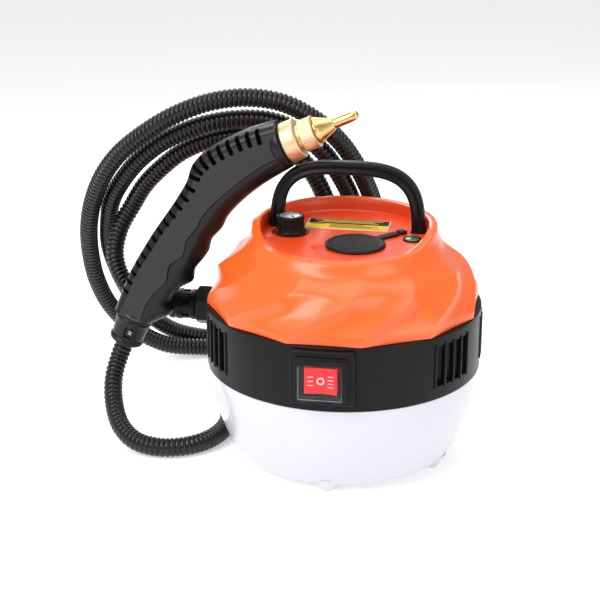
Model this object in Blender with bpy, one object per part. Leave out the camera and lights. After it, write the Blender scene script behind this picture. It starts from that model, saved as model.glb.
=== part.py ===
"""Wallpaper steamer: a round electric boiler with a corrugated steam hose and a brass-nosed gun.

Lengths are in millimetres and are turned into metres by MM. Shapes are laid out around the
boiler's own upright axis, with the front at -Y, and the whole assembly is then moved by
FRAME_SHIFT, so that the world origin is the middle of the footprint of the boiler and gun.
"""
import math

import bmesh
import bpy
from mathutils import Matrix, Vector

MM = 0.001
GAP = 0.3                       # clearance kept between pieces that touch
FRAME_SHIFT = (45.4, 1.25, 0.0)  # boiler axis, seen from the middle of the footprint

# Casing
BAND_RADIUS = 111.0
BAND_BOTTOM = 80.0
BAND_TOP = 131.5
WALL = 2.8
UNDERSIDE = 5.0
FOOT_RADIUS = 80.0
FOOT_COUNT = 5
FACE_HEIGHT = 186.0             # the flat top face
FACE_THICKNESS = 2.6
RIM_RADIUS = 74.0
RIM_WIDTH = 8.0
RIM_HEIGHT = 11.0
LOBES = 12
LOBE_TWIST = 30.0               # degrees that each swirl leans between top and band
CASING_SIDES = 48

# Top face fittings, (x, y)
KNOB_AT = (-43.4, -1.8)
LID_AT = (12.5, -28.0)
LAMP_AT = (54.9, -5.8)
ANCHOR_AT = (44.9, 8.9)
LABEL_AT = (-0.6, 24.5)
LABEL_SIZE = (67.5, 27.0, 0.3)
LID_RADIUS = 23.8
LID_BASE = FACE_HEIGHT + GAP
LID_TOP = FACE_HEIGHT + 2.9

# Handle: a bail that stands across the top face
HANDLE_Y = 16.0
HANDLE_HALF_WIDTH = 57.5
HANDLE_BASE = 180.0
HANDLE_RISE = 56.5
HANDLE_BAR = 11.0
HANDLE_POWER = 3.3              # squareness of the arch

# Switch on the front of the band
SWITCH_HEIGHT = 108.0
SWITCH_FACE = -114.5            # y of the raised panel's flat front
ROCKER_AXIS_Y = -112.0

PUMP_AT = (-50.0, -45.0)

# Steam outlet on the left of the band
GLAND_Y = 50.0
GLAND_HEIGHT = 100.0
GLAND_SEAT = -107.0
GLAND_END = -157.0

# Gun: drawn in the XZ plane at GUN_Y, leaning on the handle's left shoulder
GUN_Y = 16.0
GUN_HALF = 15.5
GUN_WALL = 2.4
NOSE_AT = (-51.0, 254.0)
NOSE_ANGLE = 24.5               # degrees above level
COLLAR_TOP = (-179.2, 101.2)
COLLAR_END = (-189.0, 77.0)

# Hose: outer diameter and the points that its middle passes through
HOSE_DIAMETER = 16.0
HOSE_ROUTE = [
    # out of the gland, back and up into the inner turn
    (-160, 50, 100), (-175, 50.5, 101), (-190, 53, 106), (-203, 58, 118), (-210, 65, 136),
    (-207, 72, 157), (-196, 76.5, 178), (-184, 74, 197), (-168, 70, 214), (-148, 69, 230),
    (-123, 69, 241), (-97, 72, 245), (-73, 79, 240), (-55, 85, 228), (-41, 90, 210),
    (-32, 95, 190), (-26, 109, 160), (-28, 134, 120), (-40, 163, 77), (-60, 188, 38),
    (-86, 202, 18),
    # middle turn
    (-122, 205, 9.5), (-158, 198, 11), (-189, 183, 22), (-210, 164, 45), (-221, 142, 74),
    (-226, 122, 104), (-227, 105, 132), (-222, 89.5, 158), (-214, 76, 182.5), (-199, 66, 206),
    (-181, 60, 226), (-158, 58, 243), (-129, 58, 256), (-100, 63, 261), (-73, 70, 259),
    (-50, 77, 248), (-31, 83, 231), (-18, 90, 210), (-9, 101, 186), (-5, 119, 155),
    (-6, 141, 115), (-15, 160, 76), (-33, 174, 42), (-60, 182, 18),
    # outer turn
    (-90, 186, 9), (-126, 184, 8.4), (-160, 177, 9), (-192, 163, 15), (-218, 148, 34),
    (-236, 132, 62), (-243, 115, 93), (-243, 99, 124), (-238, 82, 154), (-228, 66, 184),
    (-213, 53, 212), (-196, 47, 233), (-174, 45, 251), (-150, 46, 266), (-122, 50, 277),
    (-92, 56, 281), (-62, 64, 276), (-36, 72, 261), (-15, 80, 240), (0, 90, 213),
    (9, 104, 185), (13, 124, 150), (12, 145, 108), (5, 161, 68), (-10, 167, 36),
    (-33, 165, 15),
    # along the surface past the tub, and up into the gun
    (-59, 151, 8), (-81, 129, 8.3), (-96, 101, 8), (-103, 69, 8), (-104, 38, 8),
    (-101, 13, 8), (-103.5, -9, 8), (-112.5, -28, 8), (-128.5, -41, 8), (-148, -45, 8),
    (-168, -40, 10), (-184, -27, 17), (-194, -10, 30), (-197.5, 4, 46), (-195, 13, 61),
    (-190.5, 16, 73.3),
]

HOSE_START = (-149, 50, 100)    # inside the coupling
HOSE_END = (-186, 16, 84.4)     # inside the gun's tail collar

COLOURS = {
    "orange": ((0.90, 0.20, 0.03), 0.35, 0.0),
    "white": ((0.86, 0.87, 0.88), 0.25, 0.0),
    "black": ((0.03, 0.03, 0.032), 0.45, 0.0),
    "rubber": ((0.025, 0.025, 0.027), 0.75, 0.0),
    "hose": ((0.02, 0.02, 0.022), 0.4, 0.0),
    "gun": ((0.04, 0.042, 0.045), 0.55, 0.0),
    "red": ((0.75, 0.02, 0.02), 0.25, 0.0),
    "clear": ((0.85, 0.87, 0.9), 0.1, 0.0),
    "green": ((0.02, 0.25, 0.15), 0.2, 0.0),
    "label": ((0.9, 0.65, 0.05), 0.5, 0.0),
    "brass": ((0.80, 0.60, 0.30), 0.3, 1.0),
    "steel": ((0.60, 0.60, 0.62), 0.3, 1.0),
    "aluminium": ((0.70, 0.71, 0.72), 0.5, 1.0),
    "board": ((0.03, 0.20, 0.07), 0.5, 0.0),
    "silicone": ((0.75, 0.74, 0.70), 0.6, 0.0),
    "tank": ((0.80, 0.82, 0.80), 0.5, 0.0),
}


# ---------------------------------------------------------------- general helpers

def clear_scene():
    for obj in list(bpy.data.objects):
        bpy.data.objects.remove(obj, do_unlink=True)


def material(name):
    """The Principled material of one colour name, made once."""
    mat = bpy.data.materials.get(name)
    if mat is None:
        colour, roughness, metallic = COLOURS[name]
        mat = bpy.data.materials.new(name)
        mat.use_nodes = True
        shader = mat.node_tree.nodes["Principled BSDF"]
        shader.inputs["Base Color"].default_value = (*colour, 1.0)
        shader.inputs["Roughness"].default_value = roughness
        shader.inputs["Metallic"].default_value = metallic
    return mat


def finish_mesh(name, bm, colour, parent, origin=(0, 0, 0), smooth=True):
    """Turns a bmesh in millimetres into an object whose origin is at `origin`."""
    bmesh.ops.remove_doubles(bm, verts=bm.verts, dist=0.001)
    bmesh.ops.recalc_face_normals(bm, faces=bm.faces)
    bmesh.ops.transform(bm, matrix=Matrix.Translation(-Vector(origin)), verts=bm.verts)
    bmesh.ops.scale(bm, vec=(MM, MM, MM), verts=bm.verts)
    mesh = bpy.data.meshes.new(name)
    bm.to_mesh(mesh)
    bm.free()
    if smooth:
        mesh.shade_smooth()
        mesh.set_sharp_from_angle(angle=math.radians(35))
    obj = bpy.data.objects.new(name, mesh)
    obj.location = Vector(origin) * MM
    bpy.context.collection.objects.link(obj)
    if colour:
        mesh.materials.append(material(colour))
    if parent:
        obj.parent = parent
        obj.location -= parent_place(parent)
    return obj


def parent_place(parent):
    """Where a parent stands inside the assembly, in metres."""
    place = Vector((0, 0, 0))
    while parent.parent:
        place += parent.location
        parent = parent.parent
    return place


def empty_at(name, place, parent):
    empty = bpy.data.objects.new(name, None)
    empty.empty_display_size = 0.02
    empty.parent = parent
    empty.location = Vector(place) * MM
    bpy.context.collection.objects.link(empty)
    return empty


def cutter(name, bm, parent):
    obj = finish_mesh(name, bm, None, parent, smooth=False)
    obj.hide_render = True
    obj.display_type = "WIRE"
    return obj


def boolean(target, tool, operation):
    mod = target.modifiers.new(tool.name, "BOOLEAN")
    mod.operation = operation
    mod.object = tool
    mod.solver = "EXACT"


def cut(target, name, bm, parent):
    boolean(target, cutter("cut_" + name, bm, parent), "DIFFERENCE")


def add(target, name, bm, parent):
    boolean(target, cutter("add_" + name, bm, parent), "UNION")


# ---------------------------------------------------------------- shapes, as bmesh in millimetres

def ring_of(bm, count, point):
    return [bm.verts.new(point(math.tau * i / count)) for i in range(count)]


def skin(bm, rows, closed):
    """Quads between successive rings; `closed` joins the last ring to the first."""
    last = len(rows) if closed else len(rows) - 1
    for k in range(last):
        a, b = rows[k], rows[(k + 1) % len(rows)]
        n = len(a)
        for i in range(n):
            j = (i + 1) % n
            bm.faces.new((a[i], a[j], b[j], b[i]))


def lathe(profile, sides=32, frame=Matrix.Identity(4), radius_at=None):
    """Turns (radius, height) pairs around the frame's Z. A profile that starts and ends at
    radius 0 makes a solid; any other profile is a closed loop and makes a ring."""
    bm = bmesh.new()
    solid = profile[0][0] == 0
    rows = []
    for radius, height in (profile[1:-1] if solid else profile):
        def point(angle, radius=radius, height=height):
            r = radius if radius_at is None else radius * radius_at(angle, height)
            return frame @ Vector((r * math.sin(angle), -r * math.cos(angle), height))
        rows.append(ring_of(bm, sides, point))
    skin(bm, rows, closed=not solid)
    if solid:
        for row, (_, height) in ((rows[0], profile[0]), (rows[-1], profile[-1])):
            tip = bm.verts.new(frame @ Vector((0, 0, height)))
            for i in range(sides):
                bm.faces.new((row[i], row[(i + 1) % sides], tip))
    return bm


def block(size, centre, frame=Matrix.Identity(4), bevel=0.0):
    bm = bmesh.new()
    bmesh.ops.create_cube(bm, size=1.0)
    bmesh.ops.scale(bm, vec=size, verts=bm.verts)
    if bevel:
        bmesh.ops.bevel(bm, geom=bm.edges[:], offset=bevel, segments=1, affect="EDGES")
    bmesh.ops.transform(bm, matrix=frame @ Matrix.Translation(Vector(centre)), verts=bm.verts)
    return bm


def prism(outline, low, high, frame=Matrix.Identity(4)):
    """A flat outline in the frame's XY plane, extruded from `low` to `high` along its Z."""
    bm = bmesh.new()
    bottom = [bm.verts.new(frame @ Vector((x, y, low))) for x, y in outline]
    top = [bm.verts.new(frame @ Vector((x, y, high))) for x, y in outline]
    n = len(outline)
    for i in range(n):
        j = (i + 1) % n
        bm.faces.new((bottom[i], bottom[j], top[j], top[i]))
    bm.faces.new(bottom)
    bm.faces.new(top)
    bmesh.ops.triangulate(bm, faces=[f for f in bm.faces if len(f.verts) > 4])
    return bm


def sweep(path, section, up=Vector((0, 1, 0))):
    """A closed section, (side, out) pairs, carried along a path with flat ends."""
    bm = bmesh.new()
    rows = []
    for k, point in enumerate(path):
        ahead = path[min(k + 1, len(path) - 1)] - path[max(k - 1, 0)]
        ahead.normalize()
        side = (up - up.dot(ahead) * ahead).normalized()
        out = ahead.cross(side)
        rows.append([bm.verts.new(point + side * s + out * o) for s, o in section])
    skin(bm, rows, closed=False)
    bm.faces.new(rows[0])
    bm.faces.new(rows[-1])
    return bm


def circle(radius, sides):
    return [(radius * math.cos(math.tau * i / sides), radius * math.sin(math.tau * i / sides))
            for i in range(sides)]


def smooth_path(points, step):
    """Points a `step` apart on the centripetal Catmull-Rom curve through `points`."""
    pts = [Vector(p) for p in points]
    pts = [2 * pts[0] - pts[1]] + pts + [2 * pts[-1] - pts[-2]]
    fine = []
    for a, b, c, d in zip(pts, pts[1:], pts[2:], pts[3:]):
        t0 = 0.0
        t1 = t0 + (b - a).length ** 0.5
        t2 = t1 + (c - b).length ** 0.5
        t3 = t2 + (d - c).length ** 0.5
        for k in range(16):
            t = t1 + (t2 - t1) * k / 16
            ab = a.lerp(b, (t - t0) / (t1 - t0))
            bc = b.lerp(c, (t - t1) / (t2 - t1))
            cd = c.lerp(d, (t - t2) / (t3 - t2))
            abc = ab.lerp(bc, (t - t0) / (t2 - t0))
            bcd = bc.lerp(cd, (t - t1) / (t3 - t1))
            fine.append(abc.lerp(bcd, (t - t1) / (t2 - t1)))
    fine.append(pts[-2])
    length = sum((q - p).length for p, q in zip(fine, fine[1:]))
    spans = max(1, round(length / step))
    result, target, run = [fine[0]], length / spans, 0.0
    for p, q in zip(fine, fine[1:]):
        piece = (q - p).length
        while run + piece >= target - 1e-6 and len(result) < spans:
            result.append(p.lerp(q, (target - run) / piece))
            target += length / spans
        run += piece
    return result + [fine[-1]]


def axis_frame(place, direction):
    """A frame whose Z runs along `direction`."""
    turn = Vector((0, 0, 1)).rotation_difference(Vector(direction)).to_matrix().to_4x4()
    return Matrix.Translation(Vector(place)) @ turn


def smoothstep(low, high, value):
    t = min(1.0, max(0.0, (value - low) / (high - low)))
    return t * t * (3 - 2 * t)


# ---------------------------------------------------------------- casing

def make_tub(root):
    """White lower casing: a bowl with five moulded feet and three screw holes."""
    outer = [(76, UNDERSIDE), (84, UNDERSIDE + 1.2), (89.5, 9), (94.5, 18), (101, 34),
             (106, 48), (109.3, 62), (110, 72), (110, BAND_BOTTOM - GAP)]
    inner = [(r - WALL, max(z, UNDERSIDE + WALL)) for r, z in reversed(outer)]
    inner[0] = (110 - WALL, BAND_BOTTOM - GAP)
    profile = [(0, UNDERSIDE)] + outer + inner + [(0, UNDERSIDE + WALL)]
    tub = finish_mesh("tub", lathe(profile, CASING_SIDES), "white", root)
    for k in range(FOOT_COUNT):
        angle = math.tau * k / FOOT_COUNT
        place = (FOOT_RADIUS * math.sin(angle), -FOOT_RADIUS * math.cos(angle), 0)
        foot = lathe([(0, 0), (5.0, 0), (6.5, 7.0), (0, 7.0)], 12, Matrix.Translation(place))
        add(tub, f"foot_{k}", foot, root)
    for place in base_screw_places():
        hole = lathe([(0, 0), (2.4, 0), (2.4, 20), (0, 20)], 10, Matrix.Translation(place))
        cut(tub, f"base_hole_{place[0]:.0f}", hole, root)
    return tub


def base_screw_places():
    return [(55 * math.sin(a), -55 * math.cos(a), 0)
            for a in (math.radians(36 + 120 * k) for k in range(3))]


def make_band(root):
    """Black waist band with the switch panel, the vents and the two cable and hose outlets."""
    inside = BAND_RADIUS - WALL
    profile = [(BAND_RADIUS - 0.6, BAND_BOTTOM), (BAND_RADIUS, BAND_BOTTOM + 1.5),
               (BAND_RADIUS, BAND_TOP - 1.0), (BAND_RADIUS - 1.0, BAND_TOP),
               (inside, BAND_TOP), (inside, BAND_BOTTOM)]
    band = finish_mesh("mid_band", lathe(profile, 72), "black", root)
    depth = 12.0
    panel = block((50, depth, 43), (0, SWITCH_FACE + depth / 2, SWITCH_HEIGHT), bevel=1.5)
    add(band, "switch_panel", panel, root)
    behind = block((44, 12, 37), (0, SWITCH_FACE + WALL + 6.0, SWITCH_HEIGHT))
    cut(band, "switch_pocket", behind, root)
    cut(band, "switch_window", block((31, 40, 24.6), (0, -108, SWITCH_HEIGHT)), root)
    boss = axis_frame((GLAND_SEAT, GLAND_Y, GLAND_HEIGHT), (1, 0, 0))
    add(band, "gland_boss", lathe([(0, 0), (15, 0), (15, 12.5), (0, 12.5)], 24, boss), root)
    bore = axis_frame((GLAND_SEAT - 5, GLAND_Y, GLAND_HEIGHT), (1, 0, 0))
    cut(band, "gland_bore", lathe([(0, 0), (6, 0), (6, 40), (0, 40)], 16, bore), root)
    rear = axis_frame((0, 90, 100), (0, 1, 0))
    cut(band, "mains_hole", lathe([(0, 0), (7.4, 0), (7.4, 30), (0, 30)], 16, rear), root)
    for side, centre in ((1, 58), (-1, 58), (1, 98), (-1, 93)):
        for slot in range(4):
            angle = math.radians(side * (centre + (slot - 1.5) * 5.2))
            turn = Matrix.Rotation(angle, 4, "Z")
            tool = block((5.6, 20, 32), (0, -BAND_RADIUS, 107), turn)
            cut(band, f"vent_{side}_{centre}_{slot}", tool, root)
    return band


def cover_radius(angle, height):
    """Outer radius of the swirled cover, before the rim: 12 flat-sided lobes that twist."""
    outline = [(BAND_TOP, 110.6), (138, 110.3), (148, 107.0), (155, 104.2), (160, 101.3),
               (166, 97.0), (171.5, 88.0), (175, 83.2), (179, 79.2), (184, 76.0), (200, 74.0)]
    for (z0, r0), (z1, r1) in zip(outline, outline[1:]):
        if height <= z1:
            base = r0 + (r1 - r0) * (height - z0) / (z1 - z0)
            break
    half_lobe = math.pi / LOBES
    off_centre = (angle - lean_at(height) + half_lobe) % (2 * half_lobe) - half_lobe
    chord = math.cos(half_lobe) / math.cos(off_centre)
    depth = 1.15 * (1 - smoothstep(168, 184, height))
    return base * (1 - depth * (1 - chord))


def lean_at(height):
    return -math.radians(LOBE_TWIST) * (1 - smoothstep(134, 172, height))


def rim_height(angle):
    """The rim rises behind the top face and dies away towards the front."""
    from_front = abs((math.degrees(angle) + 180) % 360 - 180)
    return 0.5 + (RIM_HEIGHT - 0.5) * smoothstep(48, 92, from_front)


def make_top_cover(root):
    """Orange upper shell in one moulding: swirled skirt, rim and flat top face."""
    levels = [BAND_TOP + GAP, 137, 142, 147, 152, 157, 161, 165, 169, 173, 178, 184]
    sides = LOBES * 4
    bm = bmesh.new()

    def wall(height, inset):
        def point(angle):
            turned = angle + lean_at(height)
            r = cover_radius(turned, height) - inset
            return Vector((r * math.sin(turned), -r * math.cos(turned), height))
        return ring_of(bm, sides, point)

    def rim(radius, lift):
        def point(angle):
            z = FACE_HEIGHT + rim_height(angle) * lift
            return Vector((radius * math.sin(angle), -radius * math.cos(angle), z))
        return ring_of(bm, sides, point)

    def plain(radius, height):
        return ring_of(bm, sides, lambda a: Vector((radius * math.sin(a), -radius * math.cos(a), height)))

    under = FACE_HEIGHT - FACE_THICKNESS
    rows = [wall(z, 0) for z in levels]
    rows += [rim(RIM_RADIUS, 0.9), rim(RIM_RADIUS - 1.5, 1.0), rim(RIM_RADIUS - RIM_WIDTH + 1, 1.0)]
    rows += [rim(RIM_RADIUS - RIM_WIDTH, 0.85), plain(RIM_RADIUS - RIM_WIDTH - 0.5, FACE_HEIGHT)]
    top_pole = bm.verts.new((0, 0, FACE_HEIGHT))
    inner = [wall(z, WALL + 2.2) for z in (levels[0], 142, 152, 161, 169)]
    inner.append(plain(74, under))
    inner.append(plain(60, under))
    under_pole = bm.verts.new((0, 0, under))
    skin(bm, rows, closed=False)
    skin(bm, inner, closed=False)
    skin(bm, [inner[0], rows[0]], closed=False)
    for row, pole in ((rows[-1], top_pole), (inner[-1], under_pole)):
        for i in range(sides):
            bm.faces.new((row[i], row[(i + 1) % sides], pole))
    cover = finish_mesh("top_cover", bm, "orange", root)
    holes = (("filler", LID_AT, 14.8, 24), ("knob", KNOB_AT, 4.0, 12), ("lamp", LAMP_AT, 6.9, 16))
    for name, (x, y), radius, count in holes:
        drill = lathe([(0, 170), (radius, 170), (radius, 195), (0, 195)], count,
                      Matrix.Translation((x, y, 0)))
        cut(cover, name + "_hole", drill, root)
    for side in (-1, 1):
        slot = block((HANDLE_BAR + 1.6, HANDLE_BAR + 0.8, 30),
                     (side * (HANDLE_HALF_WIDTH - 0.1), HANDLE_Y, 184))
        cut(cover, f"handle_slot_{side}", slot, root)
    return cover


def make_handle(root):
    """Black bail handle: a rounded bar bent into a square-shouldered arch."""
    path = []
    for k in range(25):
        t = math.pi * k / 24
        c, s = math.cos(t), math.sin(t)
        x = HANDLE_HALF_WIDTH * math.copysign(abs(c) ** (2 / HANDLE_POWER), -c)
        z = HANDLE_BASE + HANDLE_RISE * abs(s) ** (2 / HANDLE_POWER)
        path.append(Vector((x, HANDLE_Y, z)))
    path = smooth_path(path, 9.0)
    half, corner = HANDLE_BAR / 2, 1.6
    section = []
    for sx, sy in ((1, 1), (-1, 1), (-1, -1), (1, -1)):
        a, b = (sx * half, sy * (half - corner)), (sx * (half - corner), sy * half)
        section += [a, b] if sx * sy > 0 else [b, a]
    return finish_mesh("handle", sweep(path, section), "black", root)


# ---------------------------------------------------------------- top face fittings

def make_knob(root):
    """Steam knob with its insert and shaft, and the regulator below the top face."""
    x, y = KNOB_AT
    turn = empty_at("knob_axis", (x, y, FACE_HEIGHT), root)
    here = Matrix.Translation((x, y, 0))

    def flutes(angle, height):
        return 1.0 if height < 189 else 1 - 0.035 * (0.5 + 0.5 * math.cos(12 * angle))

    base = FACE_HEIGHT + GAP + 0.1
    profile = [(3.4, base), (13.0, base), (13.0, base + 1.4), (11.2, base + 3.0), (11.0, 199.5),
               (10.3, 200.6), (8.8, 200.6), (8.8, 199.6), (3.4, 199.6)]
    origin = (x, y, FACE_HEIGHT)
    finish_mesh("knob", lathe(profile, 36, here, flutes), "black", turn, origin)
    cap = [(0, 199.9), (8.4, 199.9), (8.4, 200.4), (0, 200.4)]
    finish_mesh("knob_insert", lathe(cap, 24, here), "steel", turn, origin)
    shaft = [(0, 172), (3.1, 172), (3.1, 199.3), (0, 199.3)]
    finish_mesh("regulator_shaft", lathe(shaft, 12, here), "steel", turn, origin)
    body = [(3.5, 168), (10, 168), (10, 180.5), (6, 181), (6, 183.1), (3.5, 183.1)]
    finish_mesh("regulator_body", lathe(body, 20, here), "black", root)


def make_lid(root):
    """Rubber filler lid on its strap, the block that anchors the strap, and the filler pipe."""
    centre, anchor = Vector((*LID_AT, 0)), Vector((*ANCHOR_AT, 0))
    along = (anchor - centre).normalized()
    across = Vector((-along.y, along.x, 0))
    pivot = anchor - along * 5.0
    hinge = empty_at("lid_axis", (pivot.x, pivot.y, LID_BASE + 1.2), root)
    disc = [(0, LID_BASE), (10.6, LID_BASE), (10.6, 182.4), (12.0, 182.4), (12.0, LID_BASE + 0.01),
            (LID_RADIUS, LID_BASE + 0.01),
            (LID_RADIUS, LID_TOP - 0.8), (LID_RADIUS - 1.0, LID_TOP), (0, LID_TOP)]
    origin = (pivot.x, pivot.y, LID_BASE + 1.2)
    lid = finish_mesh("filler_lid", lathe(disc, 40, Matrix.Translation(centre)), "rubber", hinge, origin)
    frame = Matrix.Identity(4)
    frame.col[0].xyz, frame.col[1].xyz = along, across
    frame.translation = centre
    start, end = LID_RADIUS - 3.0, (pivot - centre).length
    strap = block((end - start, 7.0, 2.0), ((start + end) / 2, 0, LID_BASE + 1.0), frame)
    add(lid, "lid_strap", strap, root)
    finish_mesh("lid_anchor", block((6.6, 7.6, 2.6), (end + 4.8, 0, LID_BASE + 1.3), frame, 0.4),
                "rubber", root)
    here = Matrix.Translation(centre)
    pipe = [(12.6, 85), (14.3, 85), (14.3, 185.7), (12.6, 185.7)]
    finish_mesh("filler_pipe", lathe(pipe, 24, here), "black", root)
    seal = [(14.6, 84.6), (17.5, 84.6), (17.5, 87), (14.6, 87)]
    finish_mesh("filler_seal", lathe(seal, 20, here), "silicone", root)


def make_indicator(root):
    """Green indicator: a clip-in bezel with a domed lens."""
    here = Matrix.Translation((*LAMP_AT, 0))
    top = FACE_HEIGHT + GAP
    bezel = [(5.7, 176), (6.5, 176), (6.5, top), (9.2, top), (9.2, top + 0.6), (8.2, top + 1.4),
             (5.7, top + 1.4)]
    finish_mesh("indicator_bezel", lathe(bezel, 24, here), "black", root)
    lens = [(0, 176.5), (5.4, 176.5), (5.4, top + 0.9), (4.2, top + 1.7), (0, top + 2.2)]
    finish_mesh("indicator_lens", lathe(lens, 20, here), "green", root)


def make_label(root):
    place = (*LABEL_AT, FACE_HEIGHT + GAP + LABEL_SIZE[2] / 2)
    finish_mesh("warning_label", block(LABEL_SIZE, place), "label", root)


# ---------------------------------------------------------------- switch

def make_switch(root):
    """Three-position rocker in its frame, under a clear splash cover."""
    z = SWITCH_HEIGHT
    front = SWITCH_FACE - GAP
    flange = block((41, 2.4, 34), (0, front - 1.2, z), bevel=0.6)
    frame = finish_mesh("switch_frame", flange, "black", root)
    add(frame, "switch_body", block((30.2, 24, 23.8), (0, front + 10.8, z)), root)
    well = block((28.4, 24, 21.4), (0, front - 2.4 - 2 + 12, z))
    cut(frame, "switch_well", well, root)
    cover = finish_mesh("switch_cover", block((35, 8, 29), (0, front - 2.7 - 4, z), bevel=1.2),
                        "clear", root)
    cut(cover, "cover_hollow", block((33, 12, 27), (0, front - 2.7 - 8 + 1.0 + 6, z)), root)
    turn = empty_at("rocker_axis", (0, ROCKER_AXIS_Y, z), root)
    reach = ROCKER_AXIS_Y - 8.2
    outline = [(-12.4, reach), (-12.4, -110.5), (-8, -107), (8, -107), (12.4, -110.5),
               (12.4, reach), (6.2, reach + 1.1), (0, reach + 1.5), (-6.2, reach + 1.1)]
    rocker = prism(outline, z - 10.2, z + 10.2)
    finish_mesh("switch_rocker", rocker, "red", turn, (0, ROCKER_AXIS_Y, z))


# ---------------------------------------------------------------- what the boiler holds

def make_internals(root):
    def turned(name, profile, colour, sides=20, frame=Matrix.Identity(4), parent=root, origin=(0, 0, 0)):
        return finish_mesh(name, lathe(profile, sides, frame), colour, parent, origin)

    tank = [(0, 12), (78, 12), (82, 16), (90, 34), (94, 48), (94, 78), (90, 84), (0, 84)]
    inside = [(0, 82), (89, 82), (92, 77), (92, 48), (88, 35), (80, 17.5), (77, 14), (0, 14)]
    shell = finish_mesh("water_tank", lathe(tank, 36), "tank", root)
    cut(shell, "tank_hollow", lathe(inside, 36), root)
    mouth = lathe([(0, 70), (13.2, 70), (13.2, 95), (0, 95)], 20, Matrix.Translation((*LID_AT, 0)))
    cut(shell, "tank_mouth", mouth, root)
    for k, place in enumerate(base_screw_places(), 1):
        screw = [(0, 2.4), (4.0, 2.4), (4.0, 4.7), (2.0, 4.7), (2.0, 11.6), (0, 11.6)]
        turned(f"base_screw_{k}", screw, "steel", 12, Matrix.Translation(place))

    finish_mesh("heater_block", block((78, 44, 34), (5, 46, 119), bevel=5), "aluminium", root)
    finish_mesh("heater_stand", block((50, 30, 16.8), (5, 46, 93), bevel=2), "black", root)
    for side in (-1, 1):
        frame = axis_frame((5 + side * 20, 68.4, 112), (0, 1, 0))
        name = "heater_terminal_left" if side < 0 else "heater_terminal_right"
        turned(name, [(0, 0), (3, 0), (3, 10), (0, 10)], "steel", 12, frame)
    turned("thermostat", [(0, 136.3), (8, 136.3), (8, 143), (0, 143)], "steel", 16,
           Matrix.Translation((-12, 46, 0)))
    turned("thermal_fuse", [(0, 0), (3, 0), (3, 18), (0, 18)], "silicone", 10,
           axis_frame((14, 46, 139.4), (1, 0, 0)))

    pump = Matrix.Translation((*PUMP_AT, 92.1))
    turned("pump_body", [(0, 0), (13, 0), (13, 50), (5.3, 50), (5.3, 6), (0, 6)], "steel", 24, pump)
    slide = empty_at("plunger_axis", (*PUMP_AT, 100), root)
    turned("pump_plunger", [(0, 7), (5.0, 7), (5.0, 30), (0, 30)], "brass", 16, pump, slide,
           (*PUMP_AT, 100))
    coil = [pump @ Vector((4.0 * math.cos(t), 4.0 * math.sin(t), 31.2 + 17.4 * t / (math.tau * 6)))
            for t in (math.tau * k / 9 for k in range(55))]
    finish_mesh("pump_spring", sweep(coil, circle(0.6, 5), Vector((0, 0, 1))), "steel", root)
    turned("pump_valve", [(0, 50.3), (8, 50.3), (8, 58), (5, 63), (0, 63)], "brass", 16, pump)
    finish_mesh("pump_mount", block((34, 30, 7.4), (*PUMP_AT, 88.1), bevel=1), "rubber", root)

    tubes = {
        "suction_tube": ("silicone", 2.6, [(-64.2, -45, 103), (-72, -44, 103), (-79, -34, 101),
                                           (-80, -24, 95), (-79, -20, 86.6)]),
        "delivery_tube": ("silicone", 2.6, [(-50, -45, 158), (-46, -40, 164), (-32, -26, 161),
                                            (-16, -6, 146), (-9, 8, 126), (-8, 22.5, 118)]),
        "steam_pipe": ("brass", 3.6, [(-36, 48, 118), (-46, 49, 116), (-60, 50, 106),
                                      (-74, 50, 100.5), (-90, 50, 100), (-106, 50, 100)]),
    }
    for name, (colour, radius, route) in tubes.items():
        path = smooth_path(route, radius * 2.6)
        finish_mesh(name, sweep(path, circle(radius, 8), Vector((0.1, 0.2, 1))), colour, root)

    finish_mesh("board_stand", block((26, 18, 14.8), (54, -47, 92), bevel=1), "black", root)
    finish_mesh("control_board", block((44, 32, 1.6), (54, -47, 100.5)), "board", root)
    turned("board_capacitor", [(0, 101.6), (6, 101.6), (6, 116), (0, 116)], "black", 16,
           Matrix.Translation((42, -44, 0)))
    finish_mesh("board_relay", block((16, 12, 12), (62, -46, 107.6), bevel=0.5), "black", root)

    rear = axis_frame((0, 0, 100), (0, 1, 0))
    gland = [(3.6, 106), (7.0, 106), (7.0, 111.5), (10, 111.5), (10, 114), (6.2, 123), (3.6, 123)]
    turned("mains_gland", gland, "rubber", 20, rear)


# ---------------------------------------------------------------- hose and its outlet

def make_outlet(root):
    """Hexagonal nut and ribbed coupling that hold the hose to the band."""
    seat = axis_frame((GLAND_SEAT, GLAND_Y, GLAND_HEIGHT), (-1, 0, 0))
    hexagon = 15.0 / math.cos(math.pi / 6)
    nut = [(5.5, GAP), (hexagon * 0.97, GAP), (hexagon, 1.5), (hexagon, 24.5),
           (hexagon * 0.97, 26), (5.5, 26)]
    nut[1:5] = [(r * math.cos(math.pi / 6), z) for r, z in nut[1:5]]
    finish_mesh("outlet_nut", lathe(nut, 6, seat), "black", root, smooth=False)
    end = GLAND_SEAT - GLAND_END
    body = [(9.0, 26.3), (12.2, 26.3), (13.2, 28), (13.2, 43), (12.4, 44.5), (12.4, 46),
            (13.0, 47), (12.6, end), (9.0, end)]
    coupling = finish_mesh("outlet_coupling", lathe(body, 30, seat), "black", root)
    for k in range(4):
        turn = Matrix.Rotation(math.radians(45 + 90 * k), 4, "Z")
        window = block((7, 5, 9), (0, 13.2, 35.5), seat @ turn)
        cut(coupling, f"coupling_window_{k}", window, root)


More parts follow.
